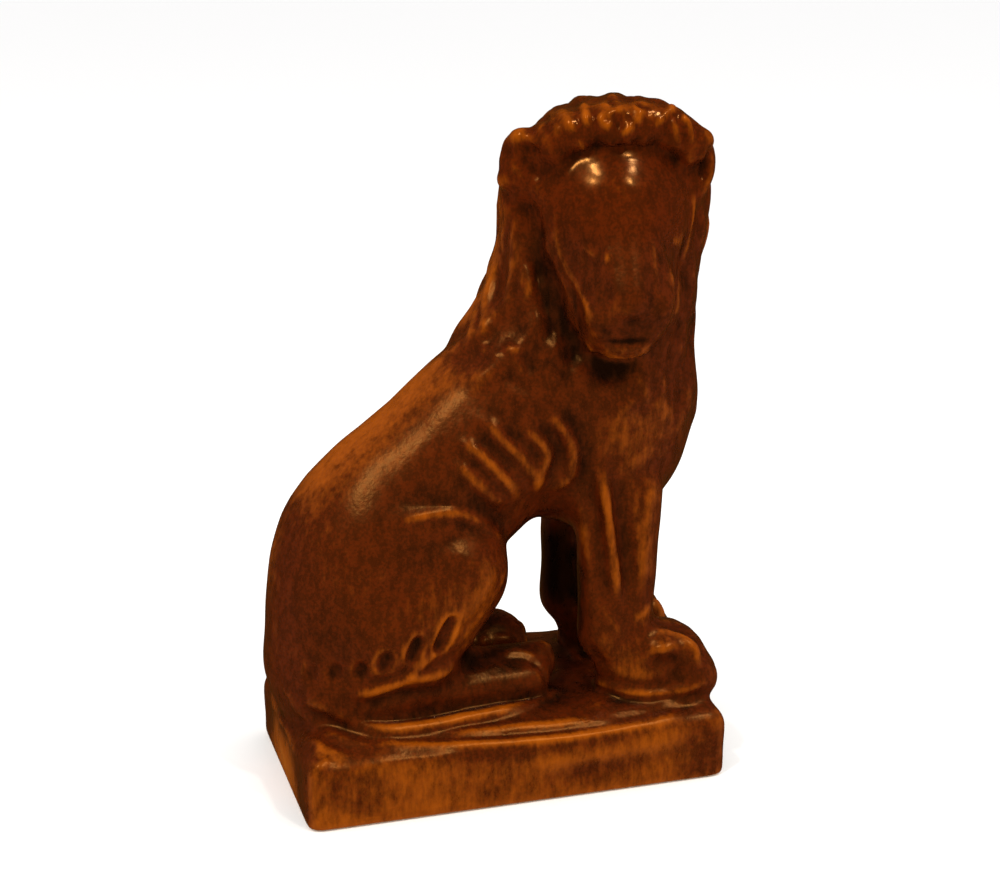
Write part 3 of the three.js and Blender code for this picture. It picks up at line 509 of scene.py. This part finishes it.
for hair in range(HAIR_LINES):
    root_across, root_down = 549 + 140 * hair / (HAIR_LINES - 1), 116 - 12 * math.sin(math.pi * hair / HAIR_LINES)
    sway = 5 * math.sin(hair * 1.7)
    draw([[(root_across, root_down), (root_across + sway * 0.3 - (root_across - 620) * 0.05, root_down + 10),
           (root_across + sway - (root_across - 620) * 0.12, root_down + 20)]], 0.9, 0.25 if hair % 2 else -0.3)
for across, down, radius in CURLS:
    ring = [(across + radius * (1 - k / 24) * math.cos(k / 2), down + radius * (1 - k / 24) * math.sin(k / 2))
            for k in range(15)]
    draw([ring], 1.3, 0.55, fade=0.1)
    draw([[(across - 2, down), (across + 2, down + 1)]], 1.2, -0.6, fade=0)

# Face: long and smooth, with a low rim round it, narrow eyes, a broad nose and a straight mouth.
FACE_RIMS = [
    [(543, 206), (545, 232), (551, 255), (557, 268), (564, 282), (571, 297), (577, 319), (580, 333), (588, 345),
     (599, 354), (612, 358), (626, 358), (638, 355), (646, 351)],
    [(555, 206), (556, 238), (559, 253), (566, 269), (574, 282), (582, 297), (588, 310), (594, 321)],
    [(684, 172), (692, 188), (694, 205), (691, 225), (689, 238), (684, 257), (679, 269), (677, 282), (676, 297),
     (675, 310), (670, 322), (663, 331), (655, 337)],
]
EYE_SOCKETS = [[(580, 264), (592, 268), (602, 272)], [(662, 252), (671, 253), (680, 255)]]
EYE_SLITS = [[(580, 252), (589, 259), (597, 265)], [(662, 241), (668, 247)]]
EYE_LIDS = [[(578, 243), (585, 248), (592, 255), (598, 260)], [(670, 239), (675, 241), (680, 245)]]
TEAR_DUCTS = [[(607, 251), (608, 262)]]
NOSE_LINES = [[(612, 266), (614, 280), (617, 295), (618, 306)],
              [(651, 236), (653, 250), (655, 270), (658, 295), (661, 308)]]
NOSE_GROOVES = [[(600, 272), (604, 290), (606, 304)], [(662, 254), (666, 272), (668, 296)]]
NOSE_TIP = [[(606, 309), (620, 310), (637, 309)]]
NOSTRILS = [[(592, 324), (603, 331), (615, 335)], [(622, 321), (632, 322), (642, 318)]]
MOUTH = [[(608, 342), (622, 343), (640, 342), (650, 340)]]
LIP = [[(612, 349), (626, 350), (638, 348)]]
draw(FACE_RIMS, 1.1, 0.35, fade=0.1)
draw(EYE_SOCKETS, 4.0, -0.4)
draw(EYE_SLITS, 1.4, -0.25)
draw(EYE_LIDS, 1.5, 0.35)
draw(TEAR_DUCTS, 1.4, 0.25, fade=0)
draw(NOSE_LINES, 1.8, 0.25)
draw(NOSE_GROOVES, 3.0, -0.3)
draw(NOSE_TIP, 3.2, 0.3)
draw(NOSTRILS, 2.2, -0.5)
draw(MOUTH, 1.1, -0.5, fade=0.12)
draw(LIP, 2.4, 0.3)

# The strokes are softened with a damp finger, and the whole surface is left a little uneven.
FINGER_PASSES = 5
WAVES = 24
UNEVENNESS = 0.000035
relief = sponge.wipe(relief[:, None], FINGER_PASSES, 0.5)[:, 0]
chance = np.random.default_rng(7)
above_foot = smooth_between(0.002, 0.008, formed[:, 2])
for _ in range(WAVES):
    way = chance.normal(size=3)
    way *= 2 * math.pi / chance.uniform(0.010, 0.030) / np.linalg.norm(way)
    relief += UNEVENNESS * above_foot * np.sin(formed @ way + chance.uniform(0, 2 * math.pi))

lion.data.vertices.foreach_set("co", (formed + facings * relief[:, None]).ravel())
lion.data.update()


# How thick the glaze lies, with painted light and painted shade laid on in the same strokes: it is thin along the
# back, the thigh, the ribs and the plinth's corners, with painted highlights along the plinth's top edge, the ledge
# and the sole rims and painted light on the chest, the crown and the plinth's end; the pools are painted shade, in the
# hollows of the far legs, under the chin, beside the face and over the thigh.
BROAD_COAT_PASSES = 120
FINE_COAT_PASSES = 8
BROADEST_LINE = 5
THIN_RUNS_AND_PAINTED_LIGHT = [
    ([(285, 520), (320, 460), (370, 410), (420, 365), (455, 335)], 16, 0.9),
    ([(268, 600), (272, 560), (285, 510)], 8, 0.5),
    ([(470, 440), (500, 462), (530, 482), (548, 500)], 14, 0.3),
    ([(490, 555), (487, 590), (470, 625), (448, 650)], 10, 0.8),
    ([(425, 570), (440, 600), (425, 640)], 12, 0.5),
    ([(400, 535), (430, 530), (460, 530)], 6, 0.6),
    ([(400, 521), (430, 515), (460, 514), (487, 526)], 2.4, 1.0),
    ([(648, 450), (650, 520), (645, 570), (640, 600)], 9, 0.55),
    ([(605, 470), (612, 540), (620, 600)], 8, 0.5),
    ([(585, 500), (588, 560), (592, 620)], 5, 0.3),
    ([(600, 620), (625, 650), (660, 670)], 10, 0.5),
    ([(322, 812), (350, 805), (400, 808), (480, 800)], 16, 0.6),
    ([(322, 790), (450, 788), (560, 778), (650, 765), (710, 753)], 22, 0.75),
    ([(450, 784), (500, 779), (548, 771)], 8, 0.45),
    ([(312, 775), (318, 800), (324, 822)], 6, 1.1),
    # painted highlight along the plinth's top edge, over its thin glaze
    ([(349, 741), (392, 742), (431, 744), (474, 744), (529, 741), (576, 735), (617, 727), (653, 725), (680, 717)], 1.6, 0.9),
    ([(640, 765), (680, 752), (715, 742)], 14, 0.5),
    ([(270, 640), (300, 640)], 12, 0.3),
    # painted reflection: the plinth's end is lightened as the pale room's reflection on it
    ([(272, 700), (284, 760), (302, 812)], 9, 1.4),
    ([(500, 766), (580, 753), (620, 744), (660, 737), (700, 730)], 7, 0.5),
    # painted light: the chest is lightened where it faces the lamps
    ([(640, 400), (640, 440), (640, 480)], 16, 0.8),
    ([(600, 400), (600, 440), (610, 480)], 12, 0.4),
    # painted light: the crown's dome is lightened where it turns away from the lamps
    ([(512, 135), (530, 131), (545, 122), (575, 110), (605, 104), (650, 108), (690, 122)], 8, 0.7),
    ([(606, 309), (620, 311), (637, 310)], 3.4, 0.25),
    ([(607, 254), (608, 262)], 1.7, 1.9),
    ([(580, 245), (591, 254), (598, 260)], 1.6, 0.7),
    ([(671, 240), (677, 241), (683, 244)], 2.0, 0.7),
    ([(651, 236), (653, 250), (655, 270), (658, 295), (661, 308)], 1.5, 0.9),
    ([(612, 266), (614, 280), (617, 295), (618, 306)], 1.2, 0.4),
    ([(555, 262), (564, 285), (571, 302), (576, 322), (583, 341), (591, 350), (600, 356), (612, 359.5), (624, 360),
      (636, 358), (646, 352)], 1.0, 1.3),
    ([(552, 222), (556, 240), (562, 256), (569, 269), (576, 283), (582, 296), (588, 309), (593, 318)], 1.7, 1.1),
    ([(684, 172), (690, 186), (693, 205), (691, 232), (686, 252), (680, 270), (678, 285), (677, 305), (672, 321),
      (664, 333), (653, 342)], 1.1, 1.4),
    ([(450, 345), (478, 310), (492, 270), (502, 220), (505, 185)], 8, 0.7),
    ([(610, 640), (618, 668), (640, 676), (680, 680)], 6, 0.5),
    ([(650, 630), (672, 634), (692, 645)], 3, 0.5),
    ([(640, 610), (650, 625)], 4, 0.7),
    ([(500, 400), (470, 380), (450, 370)], 10, 0.3),
    ([(500, 352), (515, 350), (525, 372)], 5, 0.4),
    ([(530, 633), (560, 634)], 5, 1.2),
    # thin glaze on the ledge's rim, with a painted highlight along it
    ([(352, 721), (390, 729), (440, 722), (500, 711), (558, 690)], 2.4, 1.0),
    ([(355, 696), (385, 688), (420, 679), (450, 664)], 2.4, 0.9),
    ([(404, 680), (416, 670), (436, 650)], 2.2, 0.8),
    ([(440, 735), (520, 726), (592, 719)], 2.0, 0.9),
    ([(510, 652), (522, 653), (536, 659)], 2.4, 1.2),
    # thin glaze on the sole's rim, with a painted highlight along it
    ([(600, 683), (640, 693), (690, 689)], 2.2, 1.2),
    ([(300, 705), (320, 725), (345, 745)], 6, 0.4),
    ([(314, 748), (330, 756), (349, 762)], 3, 1.2),
    ([(314, 815), (330, 822), (350, 822)], 5, 1.0),
]
# Painted shade: these pools darken the hollows, undersides and recesses where shade falls.
PAINTED_SHADE_POOLS = [
    ([(345, 512), (380, 506), (430, 501), (480, 506), (500, 522)], 8, 0.7),
    ([(400, 560), (440, 545), (480, 552)], 9, 0.4),
    ([(560, 400), (578, 425), (590, 455), (595, 500)], 9, 0.6),
    ([(600, 500), (603, 560), (600, 600)], 6, 0.4),
    ([(545, 270), (560, 310), (578, 350), (605, 372), (640, 376)], 8, 0.5),
    ([(572, 292), (578, 318), (586, 336)], 2.4, 0.8),
    ([(602, 366), (620, 368), (634, 366)], 2.4, 0.9),
    ([(520, 330), (550, 360), (560, 390)], 12, 0.4),
    ([(580, 145), (600, 144), (630, 142), (660, 143)], 2.8, 0.9),
    ([(580, 145), (600, 144), (630, 142), (660, 143)], 6.0, 0.3),
    ([(556, 150), (568, 152)], 4, 0.9),
    ([(300, 690), (350, 710), (420, 708), (500, 692)], 6, 0.4),
    ([(600, 630), (590, 655), (600, 672)], 7, 0.5),
    ([(648, 656), (662, 659), (682, 653)], 3.4, 0.5),
    ([(335, 756), (400, 757), (500, 753), (600, 743), (690, 727)], 4, 0.6),
    ([(500, 705), (560, 703), (620, 708), (660, 704)], 6, 0.6),
    ([(550, 520), (556, 560), (566, 610)], 12, 2.6),
    ([(480, 630), (500, 620), (520, 625)], 8, 1.2),
    ([(500, 695), (570, 690), (600, 700), (640, 706)], 9, 0.5),
    ([(460, 665), (500, 670), (530, 680)], 9, 0.9),
    ([(455, 655), (500, 648), (540, 655)], 3, 0.9),
    ([(300, 640), (340, 640), (380, 630)], 13, 0.3),
    ([(500, 330), (520, 350), (530, 372)], 12, 0.7),
    ([(540, 240), (550, 280), (562, 320)], 6, 0.8),
    ([(695, 270), (693, 310), (692, 345)], 6, 0.5),
    ([(590, 322), (600, 330), (614, 334)], 3.4, 1.3),
    ([(594, 340), (606, 341), (622, 342), (644, 341), (654, 339)], 1.2, 1.4),
    ([(585, 200), (600, 230), (625, 240), (660, 230), (675, 205)], 9, 0.2),
    ([(600, 275), (625, 285), (650, 285), (660, 310), (640, 330), (610, 345)], 10, 0.5),
    ([(585, 364), (605, 368), (630, 369), (645, 362)], 5, 0.5),
    ([(555, 152), (545, 165), (548, 185)], 7, 0.25),
    ([(470, 395), (500, 420), (540, 410)], 10, 0.4),
]
# Both coats carry painted light and painted shade along with the glaze's thickness.
broad_coat_light_and_shade = np.zeros(len(formed))
fine_coat_light_and_shade = np.zeros(len(formed))
for sign, runs in ((-1000, THIN_RUNS_AND_PAINTED_LIGHT), (1000, PAINTED_SHADE_POOLS)):
    for run, width, amount in runs:
        wanted = broad_coat_light_and_shade if width > BROADEST_LINE else fine_coat_light_and_shade
        draw([run], width, sign * amount, fade=0.2, both=True, onto=wanted)
for spine, width, pressed in oval_spines:
    draw([spine], width, 300 * pressed, fade=0, both=True, onto=fine_coat_light_and_shade, flat=0.6)
for rim, pressed in oval_rims:
    draw([rim], 1.3, -700 * pressed, fade=0, both=True, onto=fine_coat_light_and_shade)
coat_light_and_shade = sponge.wipe(broad_coat_light_and_shade[:, None], BROAD_COAT_PASSES, 0.5)[:, 0]
coat_light_and_shade += sponge.wipe(fine_coat_light_and_shade[:, None], FINE_COAT_PASSES, 0.5)[:, 0]


# Wear and glaze follow the form, so the piece keeps at each vertex how far it stands proud of
# the clay round it: once closely, for the crests of strokes, and once broadly, for whole limbs.
CLOSE_PASSES = 10
BROAD_PASSES = 70
PIECE_TRIANGLES = 196000


def proud(places, passes):
    worn = sponge.wipe(places, passes, 0.5)
    return np.einsum("ij,ij->i", places - worn, facings_of(lion.data))


def keep(piece, name, values):
    attribute = piece.data.attributes.new(name, "FLOAT", "POINT")
    attribute.data.foreach_set("value", values.astype(np.float32))


cut = places_of(lion.data)
crest = np.stack([proud(cut, CLOSE_PASSES), proud(cut, BROAD_PASSES)], axis=1)
crest = sponge.wipe(crest, 3, 0.5) * 1000
keep(lion, "crest", crest[:, 0])
keep(lion, "swell", crest[:, 1])
keep(lion, "coat_light_and_shade", coat_light_and_shade)
keep(lion, "bare", smooth_between(-0.6, -0.9, facings_of(lion.data)[:, 2]) * smooth_between(0.0014, 0.0006, cut[:, 2]))

thin = lion.modifiers.new("thin", "DECIMATE")
thin.use_collapse_triangulate = True
thin.ratio = PIECE_TRIANGLES / sum(len(face.vertices) - 2 for face in lion.data.polygons)
settle(lion)
for face in lion.data.polygons:
    face.use_smooth = True

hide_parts("lion_bookend")
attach(lion, "root")


# The glaze: one satin brown, thin and orange where it breaks over an edge, thick and near black
# where it lies in a hollow, and mottled red-brown in between. The coat strokes add painted shade
# with the near black, and painted highlights and painted light with the orange.
class Recipe:
    def __init__(self, name):
        self.material = bpy.data.materials.new(name)
        self.material.use_nodes = True
        self.tree = self.material.node_tree
        self.surface = self.tree.nodes["Principled BSDF"]

    def step(self, kind, settings=None, inputs=None, output=0):
        node = self.tree.nodes.new(kind)
        for name, value in (settings or {}).items():
            setattr(node, name, value)
        for name, value in (inputs or {}).items():
            self.feed(node.inputs[name], value)
        return Amount(self, node.outputs[output])

    def feed(self, socket, value):
        if isinstance(value, Amount):
            self.tree.links.new(value.socket, socket)
        else:
            socket.default_value = value

    def blend(self, share, first, second):
        return self.step("ShaderNodeMix", {"data_type": "RGBA"}, {0: share, 6: first, 7: second}, 2)


class Amount:
    # One quantity in the recipe, which can be added, scaled and compared like a number.
    def __init__(self, recipe, socket):
        self.recipe = recipe
        self.socket = socket

    def math(self, operation, first, second):
        return self.recipe.step("ShaderNodeMath", {"operation": operation}, {0: first, 1: second})

    def __add__(self, other):
        return self.math("ADD", self, other)

    __radd__ = __add__

    def __mul__(self, other):
        return self.math("MULTIPLY", self, other)

    __rmul__ = __mul__

    def __sub__(self, other):
        return self.math("SUBTRACT", self, other)

    def __rsub__(self, other):
        return self.math("SUBTRACT", other, self)

    def between(self, low, high):
        settings = {"interpolation_type": "SMOOTHSTEP"}
        return self.recipe.step("ShaderNodeMapRange", settings, {"Value": self, "From Min": low, "From Max": high})


def warm(red, green, blue):
    # A colour given as it looks, in steps of 255, turned to the light it stands for.
    return tuple(((c / 255 + 0.055) / 1.055) ** 2.4 for c in (red, green, blue)) + (1.0,)


# The near black also serves as painted shade, and the amber and palest orange as painted light, where the coat strokes
# lay them on.
THICK_GLAZE_AND_SHADE = warm(16, 6, 0)
BROWN = warm(60, 20, 0)
RED_BROWN = warm(77, 24, 0)
AMBER = warm(142, 66, 2)
THIN_GLAZE_AND_HIGHLIGHT = warm(196, 112, 30)
BARE_CLAY = warm(196, 164, 128)

glaze = Recipe("brown_glaze")
where = glaze.step("ShaderNodeTexCoord", output=3)
level = glaze.step("ShaderNodeSeparateXYZ", {}, {"Vector": where}, 2)


def cloud(scale, detail=3.0, roughness=0.55, offset=0.0, upright=1.0):
    moved = glaze.step("ShaderNodeMapping", {}, {
        "Vector": where, "Location": (offset, offset * 0.7, -offset), "Scale": (1.0, 1.0, upright)})
    return glaze.step("ShaderNodeTexNoise", {}, {
        "Vector": moved, "Scale": scale, "Detail": detail, "Roughness": roughness})


def kept(name):
    return glaze.step("ShaderNodeAttribute", {"attribute_name": name}, output=2)


patches = cloud(45.0)
mottle = cloud(420.0, 4.0, 0.6, 0.3, 0.6)
streaks = cloud(900.0, 3.0, 0.6, 0.6, 0.22)
specks = cloud(1300.0, 2.0, 0.5, 0.9)

head = level.between(0.140, 0.148)
# The coat attribute brings in the painted shade and painted light of the coat strokes.
lift_with_painted_light = kept("crest") * (3.6 - head * 1.5) + (kept("swell") - 0.3) * 0.9 - kept("coat_light_and_shade")
lift_with_painted_light = lift_with_painted_light + (mottle - 0.5) * 1.5 + (patches - 0.5) * 1.3 + (streaks - 0.5) * 1.2
body = glaze.blend((mottle * 0.5 + specks * 0.5).between(0.42, 0.6), BROWN, RED_BROWN)
with_hollows_and_shade = glaze.blend(lift_with_painted_light.between(0.1, -2.0), body, THICK_GLAZE_AND_SHADE)
with_crests_and_light = glaze.blend(lift_with_painted_light.between(0.0, 1.9), with_hollows_and_shade, AMBER)
glaze_and_painted_light = glaze.blend(lift_with_painted_light.between(1.6, 3.6), with_crests_and_light, THIN_GLAZE_AND_HIGHLIGHT)
glaze.feed(glaze.surface.inputs["Base Color"], glaze.blend(kept("bare"), glaze_and_painted_light, BARE_CLAY))
satin = mottle * 0.14 + head * -0.1 + 0.22 + kept("bare") * 0.5
glaze.feed(glaze.surface.inputs["Roughness"], satin)
peel = (cloud(1100.0, 1.0, 0.5, 0.5) + cloud(450.0, 1.0, 0.5, 0.1) * 1.5) * (1.0 - head * 0.7)
bump = glaze.step("ShaderNodeBump", {}, {"Strength": 0.13, "Distance": 0.0003, "Height": peel})
glaze.feed(glaze.surface.inputs["Normal"], bump)
glaze.surface.inputs["Specular IOR Level"].default_value = 0.4
glaze.surface.inputs["Specular Tint"].default_value = (1.0, 0.42, 0.1, 1)
lion.data.materials.clear()
lion.data.materials.append(glaze.material)


# The table top it stands on and the studio round it: pale, plain and soft.
FLOOR_HALF = 12.0
bpy.ops.mesh.primitive_plane_add(size=FLOOR_HALF * 2, location=(0, 0, 0))
table_top = bpy.context.object
table_top.name = "table_top"
paper = bpy.data.materials.new("pale_paper")
paper.use_nodes = True
paper.node_tree.nodes["Principled BSDF"].inputs["Base Color"].default_value = (0.98, 0.98, 0.98, 1)
paper.node_tree.nodes["Principled BSDF"].inputs["Roughness"].default_value = 0.9
table_top.data.materials.append(paper)
table_top.visible_glossy = False

# Round it hangs white paper, which the glaze mirrors only dimly and in its own brown.
SOFT_LIGHT = 1.08
MIRRORED_LIGHT = (0.10, 0.036, 0.006, 1)
studio = bpy.data.worlds.new("studio")
bpy.context.scene.world = studio
studio.use_nodes = True
sky = studio.node_tree.nodes
ray = sky.new("ShaderNodeLightPath")
dim = sky.new("ShaderNodeMix")
dim.data_type = "RGBA"
dim.inputs[6].default_value = (SOFT_LIGHT, SOFT_LIGHT, SOFT_LIGHT, 1)
dim.inputs[7].default_value = MIRRORED_LIGHT
studio.node_tree.links.new(ray.outputs["Is Glossy Ray"], dim.inputs[0])
studio.node_tree.links.new(dim.outputs[2], sky["Background"].inputs["Color"])

LAMP_DISTANCE = 1.1
LAMP_SIZE = 0.05
LAMP_POWER = 2.0


def lamp(name, turn, rise):
    light = bpy.data.lights.new(name, "AREA")
    light.size = LAMP_SIZE
    light.energy = LAMP_POWER
    light.color = (1.0, 0.93, 0.82)
    holder = bpy.data.objects.new(name, light)
    bpy.context.collection.objects.link(holder)
    turn, rise = math.radians(turn), math.radians(rise)
    outward = Vector((math.sin(turn) * math.cos(rise), -math.cos(turn) * math.cos(rise), math.sin(rise)))
    holder.location = SIGHT_MIDDLE + outward * LAMP_DISTANCE
    holder.rotation_euler = outward.to_track_quat("Z", "Y").to_euler()


for number, (turn, rise) in enumerate([(-51, 58), (-52, 46), (43, 58), (22, 48)]):
    lamp(f"lamp_{number + 1}", turn, rise)

bpy.context.scene.view_settings.view_transform = "Standard"

camera = bpy.data.cameras.new("camera")
camera.sensor_width = SIGHT_SENSOR
camera.lens = SIGHT_LENS
viewer = bpy.data.objects.new("camera", camera)
bpy.context.collection.objects.link(viewer)
viewer.location = sight_from
viewer.rotation_euler = (-sight_back).to_track_quat("-Z", "Y").to_euler()
bpy.context.scene.camera = viewer
